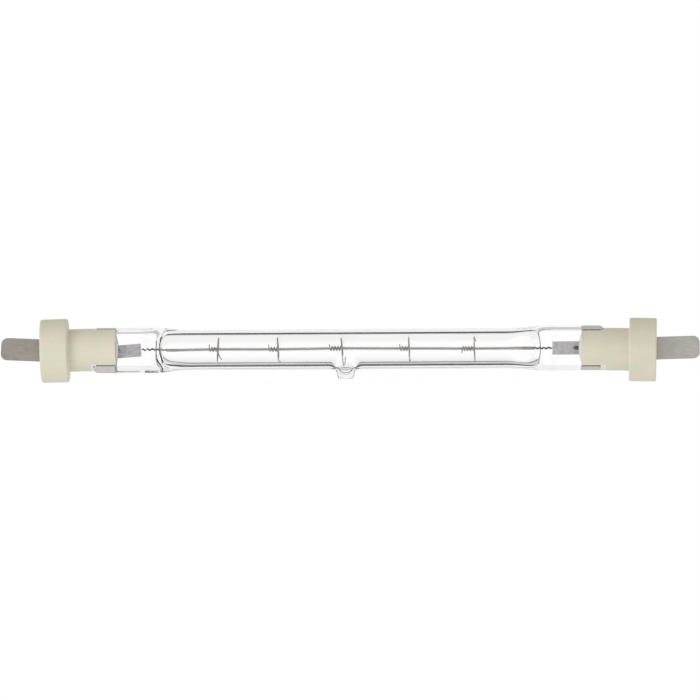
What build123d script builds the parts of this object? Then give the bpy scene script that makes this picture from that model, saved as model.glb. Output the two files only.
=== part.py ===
from build123d import *
import os
from math import cos, pi, radians, sin, sqrt, tan

# Double-ended tubular halogen lamp with flat blade contacts. All sizes are in millimetres.
# X runs along the lamp, Z is up and the exhaust tip points down. The origin is the middle of the tube.

# Quartz tube
tube_diameter = 11.1
tube_wall = 1.05
shoulder_start = 42.0  # from the middle of the lamp to where the round tube begins to flatten
shoulder_lead = 1.05  # round length before that, so the shoulder leaves the tube smoothly
shoulder_middle = 49.5
shoulder_spread = 0.35  # how much wider the softened tube is at the middle of the shoulder
shoulder_squeeze = 0.6  # how much thinner it is there
bore_taper = 3.4  # from the middle of the shoulder to the end of the bore
bore_end_height = 7.4
bore_end_gap = 0.7

# Exhaust tip, where the tube was pumped out and sealed
tip_position = -1.2
tip_root_diameter = 5.6
tip_end_diameter = 4.4
tip_length = 2.7
tip_end_radius = 1.2
tip_bore = 2.4
tip_end_wall = 0.9
tip_blend = 0.8
tip_mouth = 0.8  # rounding where the tip's bore opens into the tube

# Pinched seals: a thin web that holds the foil, between two thicker rails
shoulder_fall = 4.5  # from the middle of the shoulder to where the seal starts
seal_width = 12.4
seal_depth = 5.4
seal_edge = 1.8
seal_end_corner = 1.5
rail_height = 1.2
web_inset = 1.0  # from the start of the seal to the start of the web
web_thickness = 3.0
web_corner = 1.5

# Ceramic caps
cap_diameter = 11.8
cap_length = 20.8
collar_diameter = 17.6
collar_thickness = 7.6
collar_edge = 0.5
collar_root = 0.3
cap_end_edge = 0.6
slot_depth = 6.7
slot_gap = 0.2  # on each side of the web, filled with cement
rail_gap = 0.15  # between a rail and the ceramic tongue beside it
seal_end_gap = 0.4
chamber_width = 7.4
chamber_depth = 2.6
collar_floor = 2.0  # ceramic between the chamber and the outer face
blade_gap = 0.15
cement_setback = 0.4
cement_wrap = 1.0  # how far the cement reaches round the end of each rail

# Contact blades
blade_width = 6.3
blade_thickness = 0.8
blade_corner = 1.8
blade_bevel = 0.2
blade_seat = 3.0  # length of full-width blade inside the ceramic
tang_width = 3.4
tang_length = 5.0

# Foils and the leads welded to them
foil_length = 8.2
foil_width = 3.7
foil_thickness = 0.05
foil_set_back = 0.06  # from the middle of the seal to the foil's front face
inner_lead_diameter = 0.3
inner_lead_overlap = 2.0
inner_lead_reach = 3.0  # into the end of the coil
outer_lead_diameter = 1.0
outer_lead_rise = 0.3  # of the lead's axis over the foil's front face
outer_lead_overlap = 2.2
outer_lead_point = 0.5
tang_overlap = 3.0

# Filament: the fine coil is a plain tube, and its stretched legs are true helices
coil_diameter = 0.83
coil_wall = 0.2
coil_setback = 2.1  # from the end of the bore to the end of the coil
leg_diameter = 0.78
leg_wire = 0.2
leg_pitch = 1.1
leg_gap = 0.06  # between a leg and the quartz round it
leg_foil_gap = 0.3

# Filament supports: wire wrapped on the coil, then an open loop that rests on the tube's wall
support_wire = 0.28
support_wrap_gap = 0.05
support_pitch = 0.8
support_tail = 0.8  # how far the free end of the wrap stands off
support_tail_turn = 0.4  # of the wrap, over which the free end leaves the coil
support_arm_turn = 0.5  # over which the wire swings out from the coil to the loop
hook_turn = 0.125  # of the loop, over which its free end is bent
loop_rest_gap = 0.03
loop_sweep = 290
support_places = [-36.7, -20.0, -2.2, 16.4, 34.5]
support_rises = [0.18, 0.1, 0.26, 0.12, -0.02]
support_leans = [3.4, -2.7, -4.6, -2.5, -2.3]  # degrees, top of the loop to the right
support_ends = [-131, -80, -25, -60, 143]  # degrees round the loop to its free end, from the back
support_hooks = [1.3, 0.5, 0.7, 0.2, 0.5]  # how far the free end is bent along the lamp
tail_angles = [112, 118, 130, 124, -122]  # degrees round the coil to the wrap's free end, from the back
wrap_turns = [3, 3, 4, 3, 4]  # full turns on the coil, and part of one more to the tail's angle
loop_plays = [0.95, 0.95, 0.65, 0.95, 0.92]  # radial play of the loop in the bore
loop_drops = [0.2, 0.15, 0.75, 0.2, 0.1]  # of the loop's middle under the coil

# Places of the two ends as built: the caps are cemented by hand and differ a little
left_cap_face = 85.8
right_cap_face = 85.0
left_cap_tilt = 1.2  # degrees, outer end down
right_cap_tilt = 1.1
left_cap_drop = 0.1
right_cap_drop = 0.65
left_turn = -14.5  # degrees about the lamp
right_turn = 0.0
left_blade_reach = 11.2
right_blade_reach = 12.0
left_blade_tilt = 2.6  # degrees, outer end up
right_blade_tilt = 1.5
left_blade_rise = 0.14
right_blade_rise = -0.22
left_foil_inset = 3.9  # from the start of the seal
right_foil_inset = 1.9
left_foil_lean = 4.5  # degrees, outer end down
right_foil_lean = 0.0

bore_diameter = tube_diameter - 2 * tube_wall
straight_end = shoulder_start - shoulder_lead
bore_end = shoulder_middle + bore_taper
coil_end = bore_end - coil_setback
seal_start = shoulder_middle + shoulder_fall
web_start = seal_start + web_inset
web_width = seal_width - 2 * rail_height
tongue_width = web_width - 2 * rail_gap
cap_cut_over = collar_floor / 2  # how far the hollows are cut past the ends of the cap

os.makedirs("parts", exist_ok=True)


def save(part, name):
    """Label a finished piece and write it to its own file."""
    part.label = name
    export_step(part, f"parts/{name}.step")


def cross_plane(side, turn, x):
    """Plane across the lamp: x over the width of the seal, z outward along the lamp."""
    angle = radians(turn)
    return Plane(origin=(side * x, 0, 0), x_dir=(0, -sin(angle), cos(angle)), z_dir=(side, 0, 0))


def broad_plane(side, turn, height=0.0):
    """Plane of a seal's broad face: x outward along the lamp, z towards the front."""
    angle = radians(turn)
    middle = Plane(origin=(0, 0, 0), x_dir=(side, 0, 0), z_dir=(0, -cos(angle), -sin(angle)))
    return middle.offset(height)


def make_blade(side, turn, face, reach, rise, tilt):
    """Flat tab with rounded tip corners and a narrower tang inside the cap."""
    x_dir = (side * cos(radians(tilt)), 0, sin(radians(tilt)))
    plane = Plane(origin=(side * face, 0, rise), x_dir=x_dir, z_dir=broad_plane(side, turn).z_dir)
    with BuildPart() as blade:
        with BuildSketch(plane) as outline:
            with Locations((-blade_seat, 0)):
                Rectangle(blade_seat + reach, blade_width, align=(Align.MIN, Align.CENTER))
            fillet(outline.vertices().group_by(Axis.X)[-1], blade_corner)
            with Locations((-blade_seat - tang_length, 0)):
                Rectangle(blade_seat + tang_length, tang_width, align=(Align.MIN, Align.CENTER))
        extrude(amount=blade_thickness / 2, both=True)
        rims = blade.faces().filter_by(plane).edges()
        outer_rims = rims.filter_by(lambda edge: plane.to_local_coords(edge.center()).X > 0)
        chamfer(outer_rims, blade_bevel)
    return blade.part, plane


def make_foil(side, turn, start, lean):
    """Thin sealing foil, set back from the middle of the web by its lead."""
    plane = broad_plane(side, turn, -foil_set_back - foil_thickness / 2)
    with BuildPart() as foil:
        with BuildSketch(plane):
            with Locations(Location((start, 0, 0), (0, 0, -side * lean))):
                Rectangle(foil_length, foil_width, align=(Align.MIN, Align.CENTER))
        extrude(amount=foil_thickness / 2, both=True)
    return foil.part


def make_inner_lead(side, turn, foil_start, foil):
    """Pin from the end of the coil to the foil, flattened where it is welded on."""
    start = coil_end - inner_lead_reach
    with BuildPart() as lead:
        with BuildSketch(cross_plane(side, turn, start)):
            Circle(inner_lead_diameter / 2)
        extrude(amount=foil_start + inner_lead_overlap - start)
        with BuildSketch(broad_plane(side, turn, -foil_set_back)):
            with Locations((foil_start, 0)):
                Rectangle(inner_lead_overlap, inner_lead_diameter, align=(Align.MIN, Align.CENTER))
        extrude(amount=-inner_lead_diameter, mode=Mode.SUBTRACT)
        add(foil, mode=Mode.SUBTRACT)
    return lead.part


def make_outer_lead(side, turn, foil_start, cap_face, foil, blade):
    """Round lead from the foil to the blade's tang, pointed and flattened at its inner end."""
    foil_end = foil_start + foil_length
    start = foil_end - outer_lead_overlap
    end = cap_face - blade_seat - tang_length + tang_overlap
    radius = outer_lead_diameter / 2
    plane = broad_plane(side, turn, outer_lead_rise - foil_set_back)
    with BuildPart() as lead:
        with BuildSketch(plane):
            with BuildLine():
                Polyline(
                    (start, 0), (start + outer_lead_point, radius), (end, radius), (end, 0), close=True
                )
            make_face()
        revolve(axis=Axis(plane.origin, plane.x_dir))
        with BuildSketch(broad_plane(side, turn, -foil_set_back)):
            with Locations((start, 0)):
                Rectangle(outer_lead_overlap, outer_lead_diameter, align=(Align.MIN, Align.CENTER))
        extrude(amount=-outer_lead_diameter, mode=Mode.SUBTRACT)
        for welded_to in (foil, blade):
            add(welded_to, mode=Mode.SUBTRACT)
    return lead.part


def make_seal(side, turn, seal_end):
    """Pinched seal: a flat rounded bar, thinned between its rails to the web that holds the foil."""
    with BuildPart() as seal:
        with BuildSketch(cross_plane(side, turn, seal_start)):
            RectangleRounded(seal_width, seal_depth, seal_edge)
        extrude(amount=seal_end - seal_start)
        with BuildSketch(broad_plane(side, turn)) as outline:
            with Locations((seal_start, 0)):
                Rectangle(seal_end - seal_start, seal_width, align=(Align.MIN, Align.CENTER))
            fillet(outline.vertices().group_by(Axis.X)[-1], seal_end_corner)
        extrude(amount=seal_depth, both=True, mode=Mode.INTERSECT)
        recess_length = seal_end + 2 * web_corner - web_start
        for front in (-1, 1):
            with BuildSketch(broad_plane(side, turn, front * web_thickness / 2)):
                with Locations((web_start + recess_length / 2, 0)):
                    RectangleRounded(recess_length, web_width, web_corner)
            extrude(amount=front * seal_depth, mode=Mode.SUBTRACT)
    return seal.part


def make_cap_blank(side, face, drop, tilt):
    """Turned ceramic blank: a round body with a collar at the outer end."""
    inward = (-side * cos(radians(tilt)), 0, sin(radians(tilt)))
    plane = Plane(origin=(side * face, 0, -drop), x_dir=inward, z_dir=(0, -side, 0))
    body_radius = cap_diameter / 2
    collar_radius = collar_diameter / 2
    with BuildPart() as blank:
        with BuildSketch(plane) as profile:
            with BuildLine():
                Polyline(
                    (0, 0),
                    (0, collar_radius),
                    (collar_thickness, collar_radius),
                    (collar_thickness, body_radius),
                    (cap_length, body_radius),
                    (cap_length, 0),
                    close=True,
                )
            make_face()
            rim = profile.vertices().filter_by_position(Axis.Y, body_radius / 2, collar_radius * 2)
            fillet(rim.group_by(Axis.Y)[-1], collar_edge)
            fillet(rim.sort_by(Axis.X)[-1], cap_end_edge)
            fillet(profile.vertices().sort_by_distance((collar_thickness, body_radius))[0], collar_root)
        revolve(axis=Axis(plane.origin, plane.x_dir))
    return blank.part


def make_cap_hollows(side, turn, cap_face, blade_plane, setback, windows_from):
    """Slot for the web, windows for the rails, chamber for the lead and slot for the blade."""
    cap_end = cap_face - cap_length
    slot_end = cap_end + slot_depth
    slot_start = cap_end + setback
    chamber_length = cap_face - collar_floor - slot_end
    with BuildPart() as hollows:
        with BuildSketch(broad_plane(side, turn)):
            with Locations((slot_start, 0)):
                Rectangle(slot_end - slot_start, tongue_width, align=(Align.MIN, Align.CENTER))
        extrude(amount=web_thickness / 2 + slot_gap, both=True)
        with BuildSketch(broad_plane(side, turn)):
            with Locations((windows_from, 0)):
                Rectangle(slot_end - windows_from, 2 * cap_diameter, align=(Align.MIN, Align.CENTER))
                Rectangle(
                    slot_end - windows_from,
                    tongue_width,
                    align=(Align.MIN, Align.CENTER),
                    mode=Mode.SUBTRACT,
                )
        extrude(amount=cap_diameter, both=True)
        with BuildSketch(broad_plane(side, turn)):
            with Locations((slot_end, 0)):
                Rectangle(chamber_length, chamber_width, align=(Align.MIN, Align.CENTER))
        extrude(amount=chamber_depth / 2, both=True)
        with BuildSketch(blade_plane):
            with Locations((-setback, 0)):
                Rectangle(2 * collar_floor, blade_width + 2 * blade_gap, align=(Align.MAX, Align.CENTER))
        extrude(amount=blade_thickness / 2 + blade_gap, both=True)
    return hollows.part


def support_points(place, rise, lean, end_angle, hook, tail_angle, wraps, play, drop):
    """Points along one support's wire: wrap on the coil, arm, loop and free end."""
    wrap_radius = coil_diameter / 2 + support_wrap_gap + support_wire / 2
    loop_radius = bore_diameter / 2 - play - support_wire / 2
    loop_back = sqrt((play - loop_rest_gap) ** 2 - (rise - drop) ** 2)
    steps_per_turn = 12
    least_turn = wraps + support_arm_turn + loop_sweep / 360
    total_turn = least_turn + ((end_angle - tail_angle) / 360 - least_turn) % 1
    wrap_turn = total_turn - support_arm_turn - loop_sweep / 360
    steps = round(total_turn * steps_per_turn)
    points = []
    for step in range(steps + 1):
        turned = total_turn * step / steps
        angle = radians(end_angle) - 2 * pi * (total_turn - turned)
        tail = max(0.0, 1 - turned / support_tail_turn) ** 2 * support_tail
        arm = min(1.0, max(0.0, (turned - wrap_turn) / support_arm_turn))
        arm = arm * arm * (3 - 2 * arm)
        radius = wrap_radius + tail + (loop_radius - wrap_radius) * arm
        y = radius * cos(angle) + loop_back * arm
        z = radius * sin(angle) - drop * arm
        bend = max(0.0, 1 - (total_turn - turned) / hook_turn) * hook
        x = place + min(0.0, turned - wrap_turn) * support_pitch + z * tan(radians(lean)) + bend
        points.append((x, y, z + rise))
    return points


def make_support(*shape):
    """One filament support, swept from round wire."""
    with BuildPart() as support:
        with BuildLine() as path:
            Spline(*support_points(*shape))
        with BuildSketch(path.line ^ 0):
            Circle(support_wire / 2)
        sweep(path=path.line)
    return support.part


ends = {
    "left": dict(
        side=-1,
        turn=left_turn,
        cap_face=left_cap_face,
        cap_drop=left_cap_drop,
        cap_tilt=left_cap_tilt,
        reach=left_blade_reach,
        blade_rise=left_blade_rise,
        blade_tilt=left_blade_tilt,
        foil_start=seal_start + left_foil_inset,
        foil_lean=left_foil_lean,
    ),
    "right": dict(
        side=1,
        turn=right_turn,
        cap_face=right_cap_face,
        cap_drop=right_cap_drop,
        cap_tilt=right_cap_tilt,
        reach=right_blade_reach,
        blade_rise=right_blade_rise,
        blade_tilt=right_blade_tilt,
        foil_start=seal_start + right_foil_inset,
        foil_lean=right_foil_lean,
    ),
}

# Metal parts of both ends
for end in ends.values():
    side, turn, face, foil_start = end["side"], end["turn"], end["cap_face"], end["foil_start"]
    end["blade"], end["blade_plane"] = make_blade(
        side, turn, face, end["reach"], end["blade_rise"], end["blade_tilt"]
    )
    end["foil"] = make_foil(side, turn, foil_start, end["foil_lean"])
    end["inner_lead"] = make_inner_lead(side, turn, foil_start, end["foil"])
    end["outer_lead"] = make_outer_lead(side, turn, foil_start, face, end["foil"], end["blade"])
    end["seal_end"] = face - cap_length + slot_depth - seal_end_gap
    end["seal"] = make_seal(side, turn, end["seal_end"])

# Quartz envelope: outside first, then the bore and the pockets round what is sealed in
with BuildPart() as quartz_envelope:
    with BuildSketch(Plane.YZ.offset(-straight_end)):
        Circle(tube_diameter / 2)
    extrude(amount=2 * straight_end)
    with BuildSketch(Plane.XZ) as tip_profile:
        tip_end = -tube_diameter / 2 - tip_length
        with BuildLine():
            Polyline(
                (tip_position, -bore_diameter / 2),
                (tip_position + tip_root_diameter / 2, -bore_diameter / 2),
                (tip_position + tip_end_diameter / 2, tip_end),
                (tip_position, tip_end),
                close=True,
            )
        make_face()
        corner = (tip_position + tip_end_diameter / 2, tip_end)
        fillet(tip_profile.vertices().sort_by_distance(corner)[0], tip_end_radius)
    revolve(axis=Axis((tip_position, 0, 0), (0, 0, 1)))
    tip_joint = quartz_envelope.edges().filter_by(GeomType.BSPLINE)
    fillet(tip_joint, tip_blend)
    for end in ends.values():
        side, turn = end["side"], end["turn"]
        for x in (straight_end, shoulder_start):
            with BuildSketch(cross_plane(side, turn, x)):
                Circle(tube_diameter / 2)
        with BuildSketch(cross_plane(side, turn, shoulder_middle)):
            Ellipse(tube_diameter / 2 + shoulder_spread, tube_diameter / 2 - shoulder_squeeze)
        with BuildSketch(cross_plane(side, turn, seal_start)):
            RectangleRounded(seal_width, seal_depth, seal_edge)
        loft()
        add(end["seal"])
    with BuildSketch(Plane.YZ.offset(-straight_end)):
        Circle(bore_diameter / 2)
    extrude(amount=2 * straight_end, mode=Mode.SUBTRACT)
    for end in ends.values():
        side, turn = end["side"], end["turn"]
        for x in (straight_end, shoulder_start):
            with BuildSketch(cross_plane(side, turn, x)):
                Circle(bore_diameter / 2)
        with BuildSketch(cross_plane(side, turn, shoulder_middle)):
            Ellipse(bore_diameter / 2 + shoulder_spread, bore_diameter / 2 - shoulder_squeeze)
        with BuildSketch(cross_plane(side, turn, bore_end)):
            Ellipse(bore_end_height / 2, bore_end_gap / 2)
        loft(mode=Mode.SUBTRACT)
        with BuildSketch(cross_plane(side, turn, coil_end)):
            Circle(leg_diameter / 2 + leg_gap)
        extrude(amount=end["foil_start"] - coil_end, mode=Mode.SUBTRACT)
        for sealed_in in (end["foil"], end["inner_lead"], end["outer_lead"]):
            add(sealed_in, mode=Mode.SUBTRACT)
    with BuildSketch(Plane.XZ):
        tip_bore_end = tip_end + tip_end_wall
        with BuildLine():
            sides = Polyline(
                (tip_position, tip_bore_end),
                (tip_position, 0),
                (tip_position + tip_bore / 2, 0),
                (tip_position + tip_bore / 2, tip_bore_end + tip_bore / 2),
            )
            TangentArc(sides @ 1, sides @ 0, tangent=sides % 1)
        make_face()
    revolve(axis=Axis((tip_position, 0, 0), (0, 0, 1)), mode=Mode.SUBTRACT)
    mouth_edge = quartz_envelope.edges(Select.LAST).filter_by(GeomType.BSPLINE)
    fillet(mouth_edge, tip_mouth)
save(quartz_envelope.part, "quartz_envelope")

# Caps and the cement that fills them
for name, end in ends.items():
    side, turn, face, blade_plane = end["side"], end["turn"], end["cap_face"], end["blade_plane"]
    cap_end = face - cap_length
    blank = make_cap_blank(side, face, end["cap_drop"], end["cap_tilt"])
    with BuildPart() as ceramic_cap:
        add(blank)
        add(
            make_cap_hollows(side, turn, face, blade_plane, -cap_cut_over, cap_end - cap_cut_over),
            mode=Mode.SUBTRACT,
        )
    with BuildPart() as cement:
        add(make_cap_hollows(side, turn, face, blade_plane, cement_setback, end["seal_end"] - cement_wrap))
        add(blank, mode=Mode.INTERSECT)
        for seated in (end["seal"], end["foil"], end["outer_lead"], end["blade"]):
            add(seated, mode=Mode.SUBTRACT)
    save(ceramic_cap.part, f"{name}_ceramic_cap")
    save(cement.part, f"{name}_cement")
    save(end["blade"], f"{name}_contact_blade")
    save(end["outer_lead"], f"{name}_outer_lead")
    save(end["foil"], f"{name}_sealing_foil")
    save(end["inner_lead"], f"{name}_inner_lead")

# Filament: the coil follows its supports, and a stretched leg runs into each seal
with BuildPart() as filament:
    with BuildLine() as coil_path:
        Spline(
            (-coil_end, 0, 0),
            *[(place, 0, rise) for place, rise in zip(support_places, support_rises)],
            (coil_end, 0, 0),
            tangents=[(1, 0, 0), (1, 0, 0)],
        )
    with BuildSketch(coil_path.line ^ 0):
        Circle(coil_diameter / 2)
        Circle(coil_diameter / 2 - coil_wall, mode=Mode.SUBTRACT)
    sweep(path=coil_path.line)
    for end in ends.values():
        leg_start = coil_end - leg_wire
        with BuildLine() as leg_path:
            Helix(
                pitch=leg_pitch,
                height=end["foil_start"] - leg_foil_gap - leg_start,
                radius=(leg_diameter - leg_wire) / 2,
                center=(end["side"] * leg_start, 0, 0),
                direction=(end["side"], 0, 0),
            )
        with BuildSketch(leg_path.line ^ 0):
            Circle(leg_wire / 2)
        sweep(path=leg_path.line, is_frenet=True)
save(filament.part, "filament")

shapes = zip(
    support_places,
    support_rises,
    support_leans,
    support_ends,
    support_hooks,
    tail_angles,
    wrap_turns,
    loop_plays,
    loop_drops,
)
for number, shape in enumerate(shapes, start=1):
    save(make_support(*shape), f"filament_support_{number}")
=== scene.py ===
import math
import bpy
import numpy as np
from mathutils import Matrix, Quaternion, Vector


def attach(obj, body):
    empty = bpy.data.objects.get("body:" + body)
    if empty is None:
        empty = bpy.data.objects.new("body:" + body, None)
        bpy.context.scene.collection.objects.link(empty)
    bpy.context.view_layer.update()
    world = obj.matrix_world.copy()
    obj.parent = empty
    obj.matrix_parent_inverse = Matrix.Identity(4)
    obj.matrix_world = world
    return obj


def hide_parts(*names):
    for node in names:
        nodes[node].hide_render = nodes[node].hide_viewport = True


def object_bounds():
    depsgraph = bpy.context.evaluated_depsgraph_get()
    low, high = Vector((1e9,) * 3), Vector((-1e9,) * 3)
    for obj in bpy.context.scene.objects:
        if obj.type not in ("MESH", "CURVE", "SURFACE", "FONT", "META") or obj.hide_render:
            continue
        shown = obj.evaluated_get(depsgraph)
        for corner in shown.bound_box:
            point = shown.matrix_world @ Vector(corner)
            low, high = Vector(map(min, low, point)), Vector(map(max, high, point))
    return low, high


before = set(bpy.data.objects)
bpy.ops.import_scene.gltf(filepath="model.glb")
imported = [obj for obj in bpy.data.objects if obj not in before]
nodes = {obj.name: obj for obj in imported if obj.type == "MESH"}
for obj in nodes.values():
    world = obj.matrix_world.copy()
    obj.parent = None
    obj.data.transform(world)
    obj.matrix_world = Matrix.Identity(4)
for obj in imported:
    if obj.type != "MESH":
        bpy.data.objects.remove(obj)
cad_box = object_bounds()

# A double-ended halogen lamp: clear quartz tube, coiled filament, ceramic caps and blade contacts.
# Sizes are in millimetres in the row frame, and MM turns them into metres.
MM = 0.001

# Quartz tube and its pinched seals
TUBE_RADIUS = 5.55
TUBE_WALL = 1.05
SHOULDER_START = 42.0
SEAL_START = 54.0
SEAL_HALF_WIDTH = 6.2
SEAL_HALF_DEPTH = 2.7
SEAL_EDGE = 1.8
SEAL_END_CORNER = 1.5
WEB_HALF_WIDTH = 5.0
WEB_HALF_DEPTH = 1.5
WEB_STEP = 0.34  # width of the rounded step between web and rail
WEB_RUN_IN = 5.0  # length over which the web sinks at its inner end
QUARTZ_IOR = 1.458

# Bore of the tube and the shade painted on its wall
BORE_RADIUS = TUBE_RADIUS - TUBE_WALL
BORE_CLOSING = 49.5  # the bore is drawn more finely from here to its end
BORE_END = 52.9
BORE_END_SAG = 0.5  # the middle of the flattened bore end stands out this far past its corners
BORE_SAG_START = 47.0
PAINTED_SHADE_FADE_START = 50.3  # the painted shade thins out from here
PAINTED_SHADE_FADE_END = 51.7
# Dark colour painted onto the bore's wall: painted shade standing in for the dark lines where the wall turns light
# back
PAINTED_BORE_SHADE_COLOUR = (0.022, 0.01, 0.014, 1.0)
PAINTED_SHADE_PASSING = [(0.1, 0.0), (0.22, 0.75)]  # by Fresnel, for light that passes through the wall
PAINTED_SHADE_RETURNED = [(0.293, 0.97), (0.303, 0.0)]  # by slant, for light that the wall throws back
TOTAL_REFLECTION = 0.999  # Fresnel over which the wall throws all light back

# Cement over the ends of the quartz
CAP_END = 64.6  # from CAP_MIDDLE to the inner ends of the caps, where cement covers the glass
CAP_MIDDLE = -0.4
CEMENT_BULGE = 0.9  # how far cement stands out of a cap's slot in the middle of the web
CEMENT_BULGE_HALF_HEIGHT = 4.4
CEMENT_EDGE = (0.05, 0.35)  # past the cap's end, where the cover begins and is full
PAINTED_LIGHT_EDGE_LENGTH = 0.4  # its white edge, partly whiter cement and partly painted light over the shaded end of the cap, turns to dusty cement within this length

# Exhaust tip
TIP_X = -1.2
TIP_ROOT_RADIUS = 2.75
TIP_END_RADIUS = 2.2
TIP_LOWEST = 8.22
TIP_ROUNDING = 0.9
TIP_BLEND = 0.6
TIP_BORE_RADIUS = 1.2
TIP_BORE_LOWEST = 6.7
TIP_BORE_BLEND = 3.6
TIP_REACH = 7.0  # the tube's wall is drawn towards the tip within this distance
TIP_FADE = 2.0  # and less and less over the last part of it
TIP_MARGIN = 2.0  # finely drawn tube past that distance
TIP_CENTRE_Z = -1.6  # the tip's surface is found along rays from this height

# Filament
COIL_RADIUS = 0.455
COIL_WIRE = 0.19
COIL_PITCH = 0.34
COIL_END_PITCH = 0.22
COIL_END = 50.8
COIL_DENSE_LENGTH = 2.4
COIL_DENSE_FADE = 1.0
LEG_RADIUS = 0.42
LEG_PITCH = 1.3
LEG_WIRE = 0.34  # the stretched legs are thickened by the tail that is twisted into them
LEG_FADE = 0.4
LEG_FOIL_GAP = 0.3
SUPPORT_PLACES = [-36.7, -20.0, -2.2, 16.4, 34.5]
SUPPORT_RISES = [0.18, 0.1, 0.26, 0.12, -0.02]

# What differs at the two ends of the lamp. The powers say how late a shoulder spreads and is squeezed, the end's shade
# value is how much of the shade painted on the bore's wall is left at its end, and the bore's tables are distances
# from the middle and half sizes there.
ENDS = {
    "left": dict(
        side=-1,
        turn=-14.5,
        seal_end=71.3,
        foil_start=57.9,
        spread_power=1.6,
        squeeze_power=5.2,
        end_smoke=0.06,
        bore_widths=([SHOULDER_START, 49.5, 51.6, 52.5, BORE_END], [BORE_RADIUS, 4.55, 4.5, 4.1, 3.2]),
        bore_depths=([SHOULDER_START, 50.0, 51.6, 52.3, 52.7, BORE_END], [BORE_RADIUS, 4.44, 4.1, 3.3, 2.1, 0.15]),
    ),
    "right": dict(
        side=1,
        turn=0.0,
        seal_end=70.5,
        foil_start=55.9,
        spread_power=1.0,
        squeeze_power=2.5,
        end_smoke=0.4,
        bore_widths=([SHOULDER_START, 49.5, 52.0, 52.6, BORE_END], [BORE_RADIUS, 4.75, 4.7, 4.4, 3.5]),
        bore_depths=(
            [SHOULDER_START, 45.0, 47.5, 50.0, 52.0, 52.7, BORE_END],
            [BORE_RADIUS, 4.42, 3.9, 2.98, 1.85, 1.25, 0.15],
        ),
    ),
}

# Metals: tints as they show on screen from 0 to 255, gloss, and grain with its stretch along the lamp, features
# per metre and depth in metres. A change is a tint that takes over between two distances from the middle.
METALS = {
    # The two blades are one nickel in a shaded and a lit copy: the right blade's tint is painted lighter, standing in
    # for the key lamp's light that reaches the left blade more
    "left_blade_painted_light_nickel": dict(
        dark=(148, 143, 137), light=(164, 158, 152), roughness=0.42, stretch=0.15, grain_scale=3000, depth=0.000004
    ),
    "right_blade_painted_light_nickel": dict(
        dark=(171, 167, 161), light=(186, 182, 177), roughness=0.42, stretch=0.15, grain_scale=3000, depth=0.000004
    ),
    "lead_metal": dict(
        dark=(72, 69, 68), light=(112, 108, 106), roughness=0.4, stretch=0.2, grain_scale=3000, depth=0.000004
    ),
    "molybdenum_foil": dict(
        dark=(188, 186, 189), light=(222, 220, 222), roughness=0.5, stretch=1, grain_scale=1200, depth=0.00002
    ),
    "tungsten": dict(
        dark=(140, 137, 135), light=(176, 172, 170), roughness=0.42, stretch=1, grain_scale=5000, depth=0.000004
    ),
    "coil_tungsten": dict(
        dark=(174, 170, 167), light=(200, 196, 192), roughness=0.42, stretch=1, grain_scale=5000, depth=0.000004,
        change=(COIL_END - 0.6, COIL_END + 0.4, (96, 93, 92)),
    ),
    "inner_lead_metal": dict(
        dark=(108, 105, 104), light=(132, 128, 127), roughness=0.42, stretch=0.3, grain_scale=3000, depth=0.000004,
        change=(ENDS["right"]["foil_start"] - 0.2, ENDS["right"]["foil_start"] + 0.2, (206, 203, 204)),
    ),
}

METAL_BLOTCH_SCALE = 330
METAL_LIFT = 0.12  # added to grain times blotches, which then looks up the tint

# Mesh density
RING_QUARTER = 40
OUTLINE_SAMPLES = 4000
STEP_CROWDING = 7  # how much closer the points are at the step between web and rail
STEP_CROWDING_WIDTH = 0.3
TUBE_RINGS = 16
SHOULDER_RINGS = 66
SEAL_RINGS = 26
CORNER_RINGS = 9
TIP_RINGS = 34
TIP_SPREAD = (0.55, 0.45)  # even and crowded shares of the rings' distances round the tip
TIP_SEARCH_STEPS = 40
BORE_RING = 96
BORE_RINGS = (14, 16, 22)  # along the tube, the shoulder and the closing end
WIRE_SIDES = 8
STEPS_PER_TURN = 14

# Light. FLOOR_GLOW brings the floor's lit part up to white, for the camera alone.
FLOOR_GLOW = 0.545
FLOOR_RADIUS = 4.0
FLOOR_SIDES = 96
FLOOR_GAP = 0.00002
KEY_PLACE = (-0.4, -0.48, 0.02)
KEY_SIZE = 0.35
KEY_POWER = 0.85
BOUNCES = {"max_bounces": 32, "diffuse_bounces": 10, "glossy_bounces": 16, "transmission_bounces": 24}

# The room's brightness by elevation in degrees. Glass and metal see ROOM_BEHIND behind the lamp,
# with the dark line of a table's edge, and ROOM_SIDES elsewhere. Matt surfaces are lit by ROOM_SOFT.
DOWN, UP = -90, 90
ROOM_BEHIND = [
    (DOWN, 0.95), (-28, 0.95), (-25, 0.5), (-17.5, 0.62), (-14, 0.55), (-13.2, 0.05), (-11.8, 0.05),
    (-11, 0.7), (-9.5, 0.81), (-6, 0.9), (-2.5, 1.0), (2.5, 1.0), (5.5, 0.89), (UP, 0.86),
]
ROOM_SIDES = [(DOWN, 0.93), (-6, 0.93), (-2.5, 1.0), (2.5, 1.0), (5.5, 0.89), (UP, 0.86)]
ROOM_SOFT = [(DOWN, 0.8), (0, 0.79), (38, 0.79), (62, 0.4), (UP, 0.04)]
BEHIND_FROM = (0.8, 0.86)  # the direction's Y where the back of the room begins and is full

# Camera, placed as for the photograph
CAMERA_DISTANCE = 2.5
CAMERA_YAW = math.radians(1.8)
CAMERA_ROLL = math.radians(0.33)
CAMERA_AIM = Vector((0.0, 0.0, -0.00023))
CAMERA_CLIP = (0.1, 20.0)
PICTURE_WIDTH = 0.19425
SENSOR_WIDTH = 36.0


def smoothstep(t):
    """Zero to one with level ends."""
    t = np.clip(t, 0.0, 1.0)
    return t * t * (3 - 2 * t)


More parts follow.
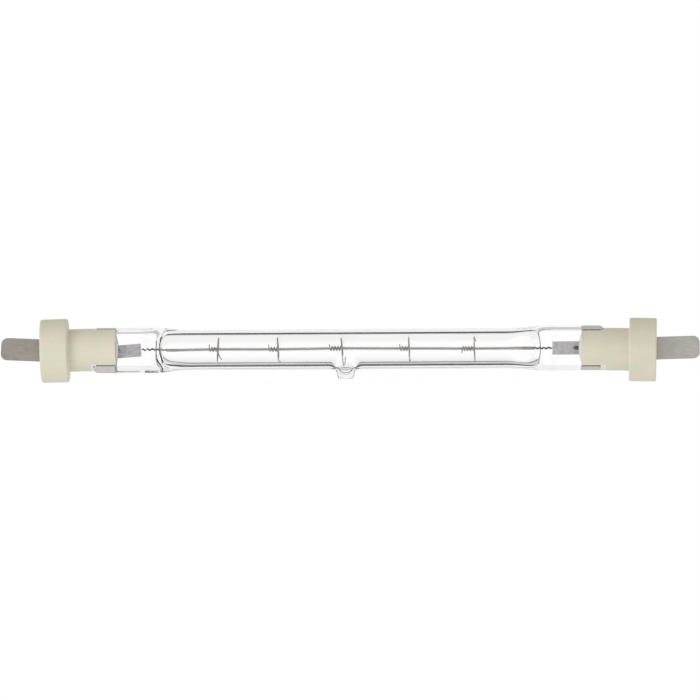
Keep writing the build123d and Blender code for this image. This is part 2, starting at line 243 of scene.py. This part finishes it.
def smooth_table(x, xs, ys):
    """Smooth curve through a few points, level at its start."""
    xs, ys = np.asarray(xs, float), np.asarray(ys, float)
    slopes = np.zeros(len(xs))
    slopes[1:-1] = (ys[2:] - ys[:-2]) / (xs[2:] - xs[:-2])
    slopes[-1] = (ys[-1] - ys[-2]) / (xs[-1] - xs[-2])
    x = np.clip(x, xs[0], xs[-1])
    i = np.clip(np.searchsorted(xs, x, side="right") - 1, 0, len(xs) - 2)
    h = xs[i + 1] - xs[i]
    t = (x - xs[i]) / h
    start = (1 + 2 * t) * (1 - t) ** 2 * ys[i] + t * (1 - t) ** 2 * h * slopes[i]
    return start + t * t * (3 - 2 * t) * ys[i + 1] + t * t * (t - 1) * h * slopes[i + 1]


def smooth_min(a, b, blend):
    """The smaller of two distances, rounded over where they are alike."""
    h = np.clip(0.5 + 0.5 * (b - a) / blend, 0.0, 1.0)
    return b + (a - b) * h - blend * h * (1 - h)


def make_mesh_object(name, points, faces):
    """A smooth-shaded object from points in millimetres and lists of corner numbers."""
    mesh = bpy.data.meshes.new(name)
    mesh.from_pydata((np.asarray(points) * MM).tolist(), [], faces)
    mesh.shade_smooth()
    mesh.update()
    piece = bpy.data.objects.new(name, mesh)
    bpy.context.scene.collection.objects.link(piece)
    return piece


def ring_faces(first, rings, count, flip):
    """Quads between neighbouring rings of points."""
    faces = []
    for ring in range(rings - 1):
        a, b = first + ring * count, first + (ring + 1) * count
        for j in range(count):
            k = (j + 1) % count
            quad = (a + j, a + k, b + k, b + j)
            faces.append(quad[::-1] if flip else quad)
    return faces


def end_faces(first, count, flip):
    """Quads that close a flattened ring, from its edge at one side to the other."""
    faces = []
    half = count // 2
    for j in range(half):
        a, b = first + j, first + j + 1
        c, d = first + (count - j - 1) % count, first + (count - j) % count
        quad = tuple(dict.fromkeys((a, b, c, d)))
        if len(quad) > 2:
            faces.append(quad[::-1] if flip else quad)
    return faces


def seal_outline():
    """Half width and half depth round the seal, closer together at the step to the web, and how far round."""
    straight = SEAL_HALF_DEPTH - SEAL_EDGE
    arc = SEAL_EDGE * math.pi / 2
    flat = SEAL_HALF_WIDTH - SEAL_EDGE
    length = straight + arc + flat
    s = np.linspace(0, length, OUTLINE_SAMPLES)
    angle = np.clip((s - straight) / SEAL_EDGE, 0, math.pi / 2)
    width = flat + SEAL_EDGE * np.cos(angle) - np.clip(s - straight - arc, 0, None)
    depth = np.clip(s, 0, straight) + SEAL_EDGE * np.sin(angle)
    at_step = np.exp(-(((width - WEB_HALF_WIDTH) / STEP_CROWDING_WIDTH) ** 2)) * (s > straight)
    density = 1 + STEP_CROWDING * at_step
    total = np.concatenate([[0], np.cumsum((density[1:] + density[:-1]) / 2)])
    wanted = np.linspace(0, total[-1], RING_QUARTER + 1)[:-1]
    quarter = np.interp(wanted, total, s)
    width, depth = np.interp(quarter, s, width), np.interp(quarter, s, depth)
    angle = quarter / length * math.pi / 2
    top = (0.0, SEAL_HALF_DEPTH, math.pi / 2)
    right = list(zip(width, depth, angle))
    quadrants = right + [top] + [(-w, d, math.pi - a) for w, d, a in right[:0:-1]]
    lower = [(-w, -d, a + math.pi) for w, d, a in quadrants]
    return np.array(quadrants + lower).T


def web_depth(x, width, depth):
    """The broad faces sink to the web, gently at its inner end and in a short step at its rails."""
    lengthwise = smoothstep((x - SEAL_START) / WEB_RUN_IN)
    sunk = lengthwise * smoothstep(0.5 - (np.abs(width) - WEB_HALF_WIDTH) / WEB_STEP)
    limited = np.sign(depth) * np.minimum(np.abs(depth), WEB_HALF_DEPTH)
    return depth + (limited - depth) * sunk


def outer_section(x, outline, end):
    """Place, half widths and depths of the outside's section at a distance x from the middle of the lamp."""
    width, depth, angle = outline
    t = (x - SHOULDER_START) / (SEAL_START - SHOULDER_START)
    t = max(t, 0.0)
    spread, squeeze = smoothstep(t ** end["spread_power"]), smoothstep(t ** end["squeeze_power"])
    w = (1 - spread) * TUBE_RADIUS * np.cos(angle) + spread * width
    d = (1 - squeeze) * TUBE_RADIUS * np.sin(angle) + squeeze * depth
    corner = end["seal_end"] - SEAL_END_CORNER
    past = max(0.0, x - corner)
    shrink = SEAL_END_CORNER - math.sqrt(max(0.0, SEAL_END_CORNER**2 - past**2))
    w = w * (1 - shrink / SEAL_HALF_WIDTH)
    return x, w, web_depth(x, w, d)


def outer_stations(end):
    """Distances from the middle at which the outside is drawn."""
    corner = end["seal_end"] - SEAL_END_CORNER
    rounds = end["seal_end"] - SEAL_END_CORNER * (1 - np.sin(np.linspace(0, math.pi / 2, CORNER_RINGS)))
    return np.concatenate(
        [
            np.linspace(TIP_REACH + TIP_MARGIN, SHOULDER_START, TUBE_RINGS)[:-1],
            np.linspace(SHOULDER_START, SEAL_START + WEB_RUN_IN, SHOULDER_RINGS)[:-1],
            np.linspace(SEAL_START + WEB_RUN_IN, corner, SEAL_RINGS)[:-1],
            rounds,
        ]
    )


def twist(x):
    """Degrees by which the section at x is turned about the lamp's axis."""
    end = ENDS["left"] if x < 0 else ENDS["right"]
    return end["turn"] * min(1.0, abs(x) / SHOULDER_START)


def turned(x, width, depth, turn):
    """Points of a section in the row frame. The front of the lamp is towards minus Y."""
    angle = math.radians(turn)
    y = -depth * math.cos(angle) - width * math.sin(angle)
    z = -depth * math.sin(angle) + width * math.cos(angle)
    return np.stack([np.broadcast_to(x, y.shape), y, z], axis=1)


def tip_surface(points, tube_radius, root, end_radius, lowest, rounding, blend):
    """Move points of a plain tube near the tip onto the tube with its drawn-out tip."""
    centre = np.array([TIP_X, 0.0, TIP_CENTRE_Z])
    rays = points - centre
    reach = np.linalg.norm(rays, axis=1)
    rays = rays / reach[:, None]
    taper = (root - end_radius) / (lowest - tube_radius)

    def distance(p):
        tube = np.hypot(p[:, 1], p[:, 2]) - tube_radius
        across = np.hypot(p[:, 0] - TIP_X, p[:, 1])
        sides = across - root + taper * (-p[:, 2] - tube_radius)
        stub = -smooth_min(-sides, -(-p[:, 2] - lowest), rounding)
        return smooth_min(tube, stub, blend)

    # the surface is searched for between these lengths of a ray
    low, high = reach * 0.9, reach + 2 * (lowest - tube_radius) + 2
    for _ in range(TIP_SEARCH_STEPS):
        middle = (low + high) / 2
        inside = distance(centre + rays * middle[:, None]) < 0
        low, high = np.where(inside, middle, low), np.where(inside, high, middle)
    found = centre + rays * low[:, None]
    away = np.hypot(points[:, 0] - TIP_X, points[:, 1])
    near = (points[:, 2] < 0) & (away < TIP_REACH)
    fade = smoothstep((TIP_REACH - away) / TIP_FADE)[:, None] * near[:, None]
    return points + (found - points) * fade


def tip_stations():
    """Distances along the lamp round the tip, closer together at its sides."""
    half = np.linspace(0, 1, TIP_RINGS)
    even, crowded = TIP_SPREAD
    spread = (even * half + crowded * half**3) * (TIP_REACH + TIP_MARGIN)
    return np.concatenate([-spread[:0:-1], spread])


def surface_rings(section, stations, angle, radius, tip_sizes):
    """Rings of points from the left end to the right one, with the round tube drawn out at the exhaust tip."""
    sides = {}
    for name, end in ENDS.items():
        side = end["side"]
        sides[name] = []
        for x in stations(end):
            along, width, depth = section(x, end)
            sides[name].append(turned(side * along, width, depth, twist(side * x)))
    middle = []
    for x in tip_stations()[1:-1]:
        ring = turned(x, radius * np.cos(angle), radius * np.sin(angle), twist(x))
        middle.append(tip_surface(ring, radius, *tip_sizes))
    return sides["left"][::-1] + middle + sides["right"]


def outer_surface():
    """Rings of points along the outside of the envelope."""
    outline = seal_outline()
    tip = (TIP_ROOT_RADIUS, TIP_END_RADIUS, TIP_LOWEST, TIP_ROUNDING, TIP_BLEND)
    return surface_rings(lambda x, end: outer_section(x, outline, end), outer_stations, outline[2], TUBE_RADIUS, tip)


def bore_section(x, angle, end):
    """Place, half widths and depths of the bore's section. The bore ends flattened and curved."""
    wide, deep = smooth_table(x, *end["bore_widths"]), smooth_table(x, *end["bore_depths"])
    sag = BORE_END_SAG * smoothstep((x - BORE_SAG_START) / (BORE_END - BORE_SAG_START)) * np.cos(angle) ** 2
    return x - sag, wide * np.cos(angle), deep * np.sin(angle)


def bore_stations(end):
    """Distances from the middle at which the bore is drawn, the same at both ends."""
    tube_rings, shoulder_rings, closing_rings = BORE_RINGS
    closing = np.sin(np.linspace(0, math.pi / 2, closing_rings))
    return np.concatenate(
        [
            np.linspace(TIP_REACH + TIP_MARGIN, SHOULDER_START, tube_rings)[:-1],
            np.linspace(SHOULDER_START, BORE_CLOSING, shoulder_rings)[:-1],
            BORE_CLOSING + (BORE_END - BORE_CLOSING) * closing,
        ]
    )


def bore_surface():
    """Rings of points along the bore."""
    angle = np.linspace(0, 2 * math.pi, BORE_RING, endpoint=False)
    tip = (TIP_BORE_RADIUS, TIP_BORE_RADIUS, TIP_BORE_LOWEST, TIP_BORE_RADIUS, TIP_BORE_BLEND)
    return surface_rings(lambda x, end: bore_section(x, angle, end), bore_stations, angle, BORE_RADIUS, tip)


def bore_painted_shade_amount(points):
    """How much shade is painted on the bore's wall at each point: full along the tube, and less at its ends."""
    along = points[:, 0]
    at_end = np.where(along < 0, ENDS["left"]["end_smoke"], ENDS["right"]["end_smoke"])
    fade = smoothstep((np.abs(along) - PAINTED_SHADE_FADE_START) / (PAINTED_SHADE_FADE_END - PAINTED_SHADE_FADE_START))
    return 1 - (1 - at_end) * fade


def make_envelope():
    """The blown and pinched quartz envelope as one closed mesh with its bore."""
    outer, bore = outer_surface(), bore_surface()
    points, faces = [], []
    for rings, hollow in ((outer, False), (bore, True)):
        count = len(rings[0])
        first = sum(len(p) for p in points)
        points.extend(rings)
        faces += ring_faces(first, len(rings), count, hollow)
        faces += end_faces(first, count, not hollow)
        faces += end_faces(first + (len(rings) - 1) * count, count, hollow)
    outer, bore = np.concatenate(outer), np.concatenate(bore)
    envelope = make_mesh_object("quartz_envelope_glass", np.concatenate([outer, bore]), faces)
    # the bore's points carry how much painted shade their wall gets
    bore_shade_amount = np.concatenate([np.zeros(len(outer)), bore_painted_shade_amount(bore)])
    envelope.data.attributes.new("bore_shade_paint", "FLOAT", "POINT").data.foreach_set("value", bore_shade_amount)
    return envelope


def coil_height(x):
    """Height of the coil's centre line, which rises and falls with its supports."""
    xs = [-COIL_END, *SUPPORT_PLACES, COIL_END]
    zs = [0.0, *SUPPORT_RISES, 0.0]
    for x0, x1, z0, z1 in zip(xs, xs[1:], zs, zs[1:]):
        if x <= x1:
            return z0 + (z1 - z0) * float(smoothstep((x - x0) / (x1 - x0)))
    return 0.0


def filament_line():
    """Points along the filament's wire and its radius there: stretched legs, dense ends and the working coil."""
    left = ENDS["left"]["foil_start"] - LEG_FOIL_GAP
    right = ENDS["right"]["foil_start"] - LEG_FOIL_GAP
    x, turn, points = -left, 0.0, []
    while x < right:
        inside = COIL_END - abs(x)
        working = float(smoothstep((inside - COIL_DENSE_LENGTH) / COIL_DENSE_FADE))
        pitch = COIL_END_PITCH + (COIL_PITCH - COIL_END_PITCH) * working
        stretched = float(smoothstep(-inside / LEG_FADE))
        pitch += (LEG_PITCH - pitch) * stretched
        wire = (COIL_WIRE + (LEG_WIRE - COIL_WIRE) * stretched) / 2
        radius = COIL_RADIUS + (LEG_RADIUS - COIL_RADIUS) * stretched - wire
        angle = 2 * math.pi * turn
        points.append((x, radius * math.cos(angle), coil_height(x) + radius * math.sin(angle), wire))
        step = 1 / STEPS_PER_TURN / (1 + stretched)
        turn += step
        x += pitch * step
    points = np.array(points)
    return points[:, :3], points[:, 3:]


def make_wire(name, line, radius, sides):
    """Round wire along a line of points, with its radius at each of them and closed ends."""
    tangents = np.gradient(line, axis=0)
    tangents /= np.linalg.norm(tangents, axis=1)[:, None]
    across = np.cross(tangents, (1.0, 0.0, 0.0))
    across /= np.linalg.norm(across, axis=1)[:, None]
    other = np.cross(tangents, across)
    rings = []
    for j in range(sides):
        angle = 2 * math.pi * j / sides
        rings.append(line + radius * (math.cos(angle) * across + math.sin(angle) * other))
    points = np.stack(rings, axis=1).reshape(-1, 3)
    faces = ring_faces(0, len(line), sides, True)
    last = (len(line) - 1) * sides
    faces += [tuple(range(sides)), tuple(range(last + sides - 1, last - 1, -1))]
    return make_mesh_object(name, points, faces)


def new_material(name):
    """An empty node material with its output."""
    material = bpy.data.materials.new(name)
    material.use_nodes = True
    material.node_tree.nodes.clear()
    output = material.node_tree.nodes.new("ShaderNodeOutputMaterial")
    return material, material.node_tree, output


def add_node(tree, kind, inputs=None, **settings):
    """One node with its settings and its inputs, each a constant or a socket to link."""
    node = tree.nodes.new(kind)
    for key, value in settings.items():
        setattr(node, key, value)
    for key, value in (inputs or {}).items():
        if isinstance(value, bpy.types.NodeSocket):
            tree.links.new(value, node.inputs[key])
        else:
            node.inputs[key].default_value = value
    return node


def math_node(tree, operation, *values):
    """The result of a Math node."""
    return add_node(tree, "ShaderNodeMath", dict(enumerate(values)), operation=operation).outputs[0]


def map_range(tree, value, low, high):
    """Zero at the low value or under it, one at the high value or over it."""
    inputs = {"Value": value, "From Min": low, "From Max": high}
    return add_node(tree, "ShaderNodeMapRange", inputs).outputs["Result"]


def coordinate(tree, axis):
    """One coordinate in the row frame, in metres."""
    return add_node(tree, "ShaderNodeSeparateXYZ", {"Vector": object_position(tree)}).outputs[axis]


def mix_shader(tree, fac, first, second):
    """Two shader nodes mixed."""
    inputs = {0: fac, 1: first.outputs[0], 2: second.outputs[0]}
    return add_node(tree, "ShaderNodeMixShader", inputs)


def colour(red, green, blue):
    """A colour given as it shows on screen, 0 to 255, in linear light."""
    linear = []
    for value in (red / 255, green / 255, blue / 255):
        linear.append(value / 12.92 if value <= 0.04045 else ((value + 0.055) / 1.055) ** 2.4)
    return (*linear, 1.0)


def ramp(tree, fac, stops, interpolation="EASE"):
    """A colour ramp with the given places and colours or greys."""
    node = add_node(tree, "ShaderNodeValToRGB", {"Fac": fac})
    node.color_ramp.interpolation = interpolation
    elements = node.color_ramp.elements
    while len(elements) < len(stops):
        elements.new(0.5)
    for element, (place, value) in zip(elements, stops):
        element.position = place
        element.color = value if isinstance(value, tuple) else (value, value, value, 1.0)
    return node.outputs["Color"]


def object_position(tree, scale=(1.0, 1.0, 1.0)):
    """Position in the row frame, in metres, scaled."""
    place = add_node(tree, "ShaderNodeTexCoord").outputs["Object"]
    return add_node(tree, "ShaderNodeMapping", {"Vector": place, "Scale": scale}).outputs["Vector"]


def noise(tree, scale, detail=3.0, roughness=0.5, stretch=(1.0, 1.0, 1.0)):
    """Noise by position, with its features about one over the scale in metres."""
    inputs = {"Vector": object_position(tree, stretch), "Scale": scale, "Detail": detail, "Roughness": roughness}
    return add_node(tree, "ShaderNodeTexNoise", inputs).outputs["Fac"]


def mix_colour(tree, fac, a, b, blend="MIX"):
    """Two colours mixed."""
    node = add_node(tree, "ShaderNodeMix", data_type="RGBA", blend_type=blend)
    for socket, value in ((node.inputs[0], fac), (node.inputs[6], a), (node.inputs[7], b)):
        if isinstance(value, bpy.types.NodeSocket):
            tree.links.new(value, socket)
        else:
            socket.default_value = value
    return node.outputs[2]


def bump(tree, height, distance, strength=1.0, normal=None):
    """A bump from a height between 0 and 1."""
    inputs = {"Height": height, "Distance": distance, "Strength": strength}
    if normal is not None:
        inputs["Normal"] = normal
    return add_node(tree, "ShaderNodeBump", inputs).outputs["Normal"]


def finish_material(tree, output, inputs):
    """A Principled shader with the given inputs."""
    shader = add_node(tree, "ShaderNodeBsdfPrincipled", inputs)
    tree.links.new(shader.outputs["BSDF"], output.inputs["Surface"])


def quartz_material():
    """Clear fused quartz with soft ripples and shade painted on the bore's wall, milky where cement covers it, with a
    whiter edge at the caps' ends that is partly painted light.
    """
    material, tree, output = new_material("clear_quartz")
    normal = bump(tree, noise(tree, scale=900, detail=2.0, stretch=(0.02, 1.0, 1.0)), distance=0.000004)
    normal = bump(tree, noise(tree, scale=260, detail=2.0), distance=0.00001, normal=normal)
    glass_look = {
        "Base Color": (1.0, 1.0, 1.0, 1.0),
        "Roughness": 0.0,
        "IOR": QUARTZ_IOR,
        "Transmission Weight": 1.0,
        "Normal": normal,
    }
    clear = add_node(tree, "ShaderNodeBsdfPrincipled", glass_look)
    # dark diffuse shader mixed in on the bore's wall: painted shade
    painted_shade = add_node(tree, "ShaderNodeBsdfDiffuse", {"Color": PAINTED_BORE_SHADE_COLOUR})
    glass = mix_shader(tree, bore_painted_shade_factor(tree), clear, painted_shade)
    dust_and_painted_light = ramp(tree, noise(tree, scale=900), [(0.3, colour(196, 192, 188)), (0.7, colour(208, 204, 199))])
    # The cover is near white at each cap's end: partly whiter cement, partly painted light that lifts the shade on the
    # cap's end face
    painted_light_fade = map_range(tree, cap_distance(tree), CAP_END * MM, (CAP_END + PAINTED_LIGHT_EDGE_LENGTH) * MM)
    dust_and_painted_light = mix_colour(tree, painted_light_fade, colour(246, 245, 250), dust_and_painted_light)
    covered = add_node(tree, "ShaderNodeBsdfPrincipled", {"Base Color": dust_and_painted_light, "Roughness": 0.25})
    both = mix_shader(tree, cement_cover(tree), glass, covered)
    tree.links.new(both.outputs[0], output.inputs["Surface"])
    return material


def bore_painted_shade_factor(tree):
    """Shade painted on the bore's wall where light meets it at a slant, just short of and just past total reflection.
    """
    fresnel = add_node(tree, "ShaderNodeFresnel", {"IOR": QUARTZ_IOR}).outputs[0]
    facing = add_node(tree, "ShaderNodeLayerWeight", {"Blend": 0.5}).outputs["Facing"]
    thrown_back = math_node(tree, "GREATER_THAN", fresnel, TOTAL_REFLECTION)
    passing = ramp(tree, fresnel, PAINTED_SHADE_PASSING, "LINEAR")
    returned = ramp(tree, facing, PAINTED_SHADE_RETURNED, "LINEAR")
    painted_shade = mix_colour(tree, thrown_back, passing, returned)
    bore = add_node(tree, "ShaderNodeAttribute", attribute_name="bore_shade_paint").outputs["Fac"]
    return math_node(tree, "MULTIPLY", painted_shade, bore)


def cap_distance(tree):
    """Distance along the lamp from the middle between the caps, in metres."""
    return math_node(tree, "ABSOLUTE", math_node(tree, "ADD", coordinate(tree, "X"), -CAP_MIDDLE * MM))


def cement_cover(tree):
    """One where cement covers the quartz, which bulges out of a cap's slot between the rails, and zero elsewhere."""
    height = coordinate(tree, "Z")
    square = math_node(tree, "MULTIPLY", height, height)
    fall = -CEMENT_BULGE / CEMENT_BULGE_HALF_HEIGHT**2 / MM
    bulge = math_node(tree, "MULTIPLY_ADD", square, fall, CEMENT_BULGE * MM)
    reach = math_node(tree, "ADD", cap_distance(tree), math_node(tree, "MAXIMUM", bulge, 0.0))
    begins, full = CEMENT_EDGE
    return map_range(tree, reach, (CAP_END + begins) * MM, (CAP_END + full) * MM)


def ceramic_material():
    """Cream steatite: mottled, finely pitted, with a few dark specks."""
    material, tree, output = new_material("cream_ceramic")
    patches = noise(tree, scale=160, detail=3.0)
    patches = ramp(tree, patches, [(0.32, colour(221, 219, 196)), (0.68, colour(229, 221, 201))])
    grain = ramp(tree, noise(tree, scale=2600, detail=4.0), [(0.3, 0.965), (0.62, 1.0)])
    tint = mix_colour(tree, 1.0, patches, grain, "MULTIPLY")
    specks = ramp(tree, noise(tree, scale=1500, detail=1.0, roughness=0.3), [(0.76, 0.0), (0.81, 0.35)])
    tint = mix_colour(tree, specks, tint, colour(160, 152, 128))
    look = {
        "Base Color": tint,
        "Roughness": ramp(tree, noise(tree, scale=700), [(0.3, 0.5), (0.7, 0.62)]),
        "Normal": bump(tree, noise(tree, scale=4200, detail=3.0), distance=0.00003, strength=0.6),
    }
    finish_material(tree, output, look)
    return material


def cement_material():
    """White fixing cement, coarse and matt."""
    material, tree, output = new_material("white_cement")
    grain = noise(tree, scale=1800, detail=4.0)
    tint = ramp(tree, grain, [(0.3, colour(226, 225, 218)), (0.65, colour(243, 242, 236))])
    normal = bump(tree, noise(tree, scale=3200, detail=4.0), distance=0.00006)
    finish_material(tree, output, {"Base Color": tint, "Roughness": 0.8, "Normal": normal})
    return material


def metal_material(name):
    """Satin metal from the table: drawn grain, faint blotches and uneven gloss."""
    metal = METALS[name]
    material, tree, output = new_material(name)
    grain = noise(tree, scale=metal["grain_scale"], detail=4.0, stretch=(metal["stretch"], 1, 1))
    blotch = noise(tree, scale=METAL_BLOTCH_SCALE, detail=3.0)
    both = math_node(tree, "MULTIPLY_ADD", grain, blotch, METAL_LIFT)
    tint = ramp(tree, both, [(0.2, colour(*metal["dark"])), (0.55, colour(*metal["light"]))])
    if "change" in metal:
        start, end, shade = metal["change"]
        away = math_node(tree, "ABSOLUTE", coordinate(tree, "X"))
        tint = mix_colour(tree, map_range(tree, away, start * MM, end * MM), tint, colour(*shade))
    roughness = metal["roughness"]
    look = {
        "Base Color": tint,
        "Metallic": 1.0,
        "Roughness": ramp(tree, blotch, [(0.3, roughness - 0.05), (0.7, roughness + 0.08)]),
        "Normal": bump(tree, grain, metal["depth"]),
    }
    finish_material(tree, output, look)
    return material


def set_material(piece, material):
    """Give every slot of a piece one material."""
    piece.data.materials.clear()
    piece.data.materials.append(material)


def dress_frame():
    """Materials for the pieces that keep their own shape."""
    ceramic, cement = ceramic_material(), cement_material()
    lead, pin = metal_material("lead_metal"), metal_material("inner_lead_metal")
    foil, tungsten = metal_material("molybdenum_foil"), metal_material("tungsten")
    for name in ENDS:
        set_material(nodes[f"{name}_ceramic_cap"], ceramic)
        set_material(nodes[f"{name}_cement"], cement)
        # each blade gets its own copy of the nickel, the right one painted lighter in place of light
        set_material(nodes[f"{name}_contact_blade"], metal_material(f"{name}_blade_painted_light_nickel"))
        set_material(nodes[f"{name}_outer_lead"], lead)
        set_material(nodes[f"{name}_inner_lead"], pin)
        set_material(nodes[f"{name}_sealing_foil"], foil)
    for number in range(1, len(SUPPORT_PLACES) + 1):
        set_material(nodes[f"filament_support_{number}"], tungsten)


def room_ramp(tree, height, table):
    """Brightness by the elevation of a direction, from its height between minus one and one."""
    stops = [((math.sin(math.radians(degrees)) + 1) / 2, value) for degrees, value in table]
    return ramp(tree, map_range(tree, height, -1.0, 1.0), stops, "LINEAR")


def make_world():
    """Pale studio all round. The camera itself sees plain white."""
    world = bpy.data.worlds.new("studio")
    bpy.context.scene.world = world
    world.use_nodes = True
    tree = world.node_tree
    tree.nodes.clear()
    output = tree.nodes.new("ShaderNodeOutputWorld")
    direction = add_node(tree, "ShaderNodeTexCoord").outputs["Generated"]
    parts = add_node(tree, "ShaderNodeSeparateXYZ", {"Vector": direction}).outputs
    back = map_range(tree, parts["Y"], *BEHIND_FROM)
    room = mix_colour(tree, back, room_ramp(tree, parts["Z"], ROOM_SIDES), room_ramp(tree, parts["Z"], ROOM_BEHIND))
    path = add_node(tree, "ShaderNodeLightPath").outputs
    sharp = math_node(tree, "MAXIMUM", path["Is Glossy Ray"], path["Is Transmission Ray"])
    shade = mix_colour(tree, sharp, room_ramp(tree, parts["Z"], ROOM_SOFT), room)
    shade = mix_colour(tree, path["Is Camera Ray"], shade, (1.0, 1.0, 1.0, 1.0))
    background = add_node(tree, "ShaderNodeBackground", {"Color": shade, "Strength": 1.0})
    tree.links.new(background.outputs["Background"], output.inputs["Surface"])
    world.cycles.sampling_method = "NONE"


def floor_material():
    """Pale floor that shows to the camera as the white background and keeps the lamp's shadow."""
    material, tree, output = new_material("pale_floor")
    grain = ramp(tree, noise(tree, scale=40, detail=2.0), [(0.3, 0.78), (0.7, 0.8)])
    diffuse = add_node(tree, "ShaderNodeBsdfDiffuse", {"Color": grain})
    glow = add_node(tree, "ShaderNodeEmission", {"Color": (1.0, 1.0, 1.0, 1.0), "Strength": FLOOR_GLOW})
    lit = add_node(tree, "ShaderNodeAddShader", {0: diffuse.outputs[0], 1: glow.outputs[0]})
    clear = add_node(tree, "ShaderNodeBsdfTransparent")
    seen = add_node(tree, "ShaderNodeLightPath").outputs["Is Camera Ray"]
    tree.links.new(mix_shader(tree, seen, clear, lit).outputs[0], output.inputs["Surface"])
    return material


def make_floor():
    """A round pale floor under the collars."""
    lowest = cad_box[0].z - FLOOR_GAP
    turns = [2 * math.pi * k / FLOOR_SIDES for k in range(FLOOR_SIDES)]
    ring = [(FLOOR_RADIUS * math.cos(turn), FLOOR_RADIUS * math.sin(turn), lowest) for turn in turns]
    mesh = bpy.data.meshes.new("floor")
    mesh.from_pydata(ring, [], [tuple(range(FLOOR_SIDES))])
    floor = bpy.data.objects.new("floor", mesh)
    bpy.context.scene.collection.objects.link(floor)
    floor.data.materials.append(floor_material())
    floor.visible_diffuse = False


def make_lamp(name, place, size, power):
    """A soft square lamp that points at the object."""
    light = bpy.data.lights.new(name, "AREA")
    light.shape = "SQUARE"
    light.size = size
    light.energy = power
    lamp = bpy.data.objects.new(name, light)
    lamp.location = place
    lamp.rotation_mode = "QUATERNION"
    lamp.rotation_quaternion = (-Vector(place)).to_track_quat("-Z", "Y")
    bpy.context.scene.collection.objects.link(lamp)


def make_camera():
    """A long lens in front of the lamp, a little to the right, level with it."""
    data = bpy.data.cameras.new("camera")
    data.sensor_width = SENSOR_WIDTH
    data.lens = SENSOR_WIDTH * CAMERA_DISTANCE / PICTURE_WIDTH
    data.clip_start, data.clip_end = CAMERA_CLIP
    camera = bpy.data.objects.new("camera", data)
    back = Vector((math.sin(CAMERA_YAW), -math.cos(CAMERA_YAW), 0.0))
    camera.location = CAMERA_AIM + back * CAMERA_DISTANCE
    camera.rotation_mode = "QUATERNION"
    level = (-back).to_track_quat("-Z", "Y")
    camera.rotation_quaternion = level @ Quaternion((0.0, 0.0, 1.0), -CAMERA_ROLL)
    bpy.context.scene.collection.objects.link(camera)
    bpy.context.scene.camera = camera


envelope = make_envelope()
set_material(envelope, quartz_material())
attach(envelope, "root")
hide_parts("quartz_envelope")

filament = make_wire("filament_coil", *filament_line(), WIRE_SIDES)
set_material(filament, metal_material("coil_tungsten"))
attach(filament, "root")
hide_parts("filament")

dress_frame()
make_world()
make_floor()
make_lamp("key_lamp", KEY_PLACE, KEY_SIZE, KEY_POWER)
make_camera()
bpy.context.scene.view_settings.view_transform = "Standard"
for setting, count in BOUNCES.items():
    setattr(bpy.context.scene.cycles, setting, count)
